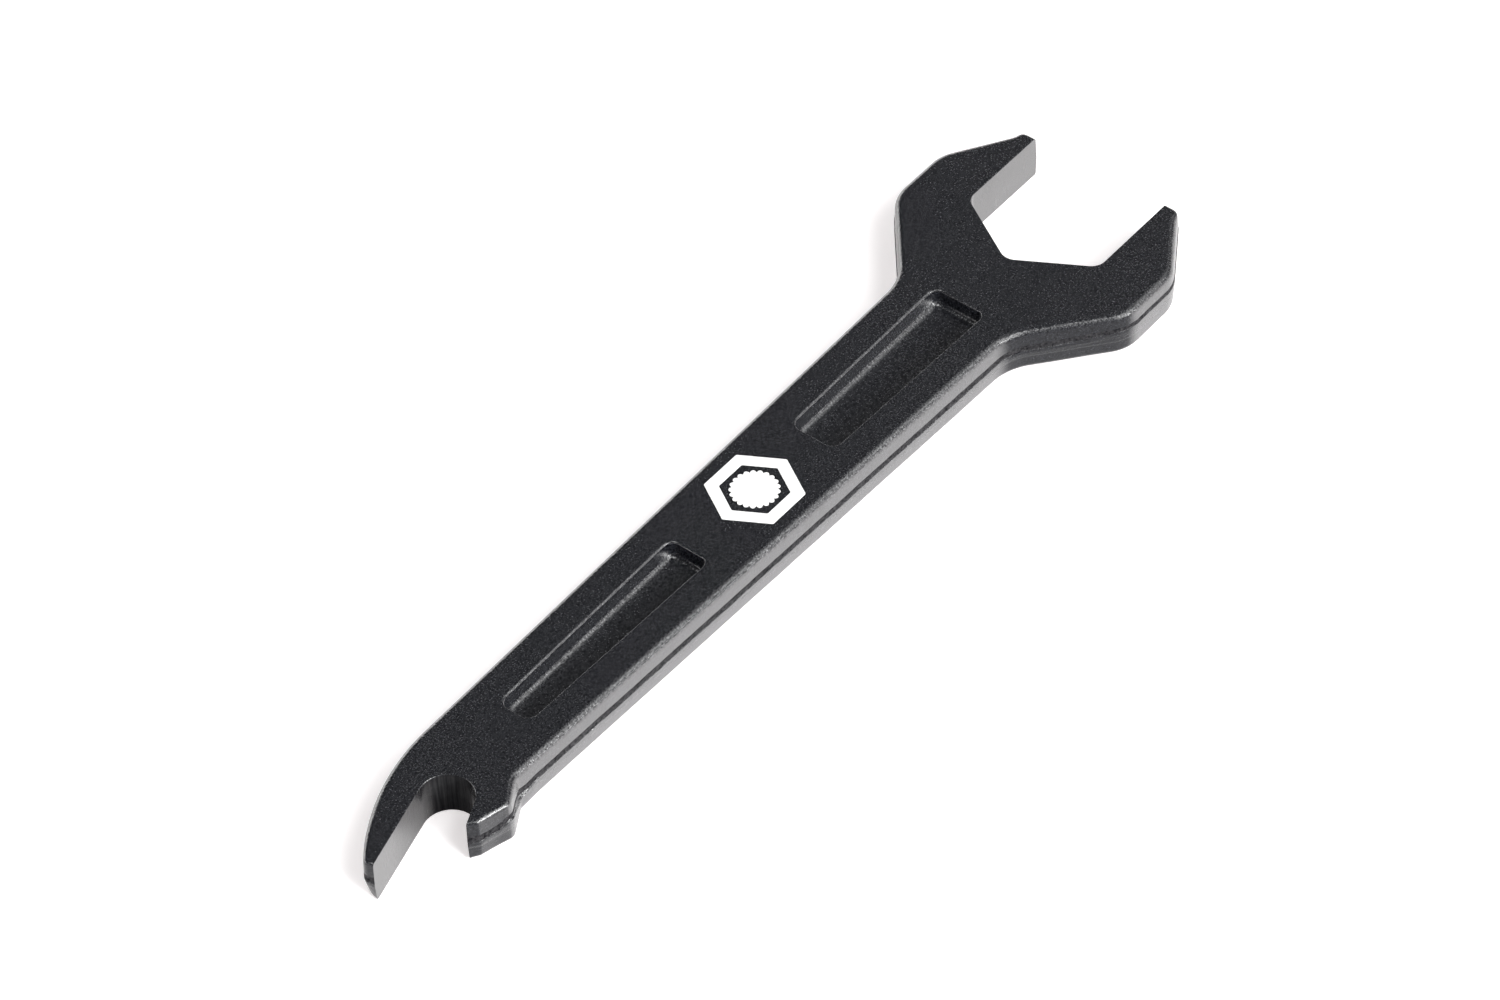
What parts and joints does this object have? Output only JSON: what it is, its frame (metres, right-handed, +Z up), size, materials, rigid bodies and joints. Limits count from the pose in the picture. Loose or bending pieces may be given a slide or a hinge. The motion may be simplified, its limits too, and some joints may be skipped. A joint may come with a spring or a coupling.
{
  "type": "open-end wrench with bottle opener",
  "caption": "Flat forged steel hand tool: an open-end hexagon wrench at one end, a claw bottle opener with a lip at the other, and a tapered shank with recessed panels between them.",
  "frame": {"origin": "middle of the bounding box in X and Y, on the underside, which is the face the tool rests on", "axes": "+X along the shank from the opener to the wrench jaw, +Y across the shank to the back of the claw, +Z up out of the printed face"},
  "size_m": [0.1528, 0.04, 0.0069],
  "materials": {
    "black_coat": "fine-grained satin black coat on drop-forged steel, smoother and glossier on the machined jaw and opener faces",
    "white_ink": "matt white printed ink"
  },
  "bodies": {
    "root": {"forged_body": "black_coat", "print_hexagon": "white_ink", "print_crown_cap": "white_ink"}
  },
  "joints": []
}
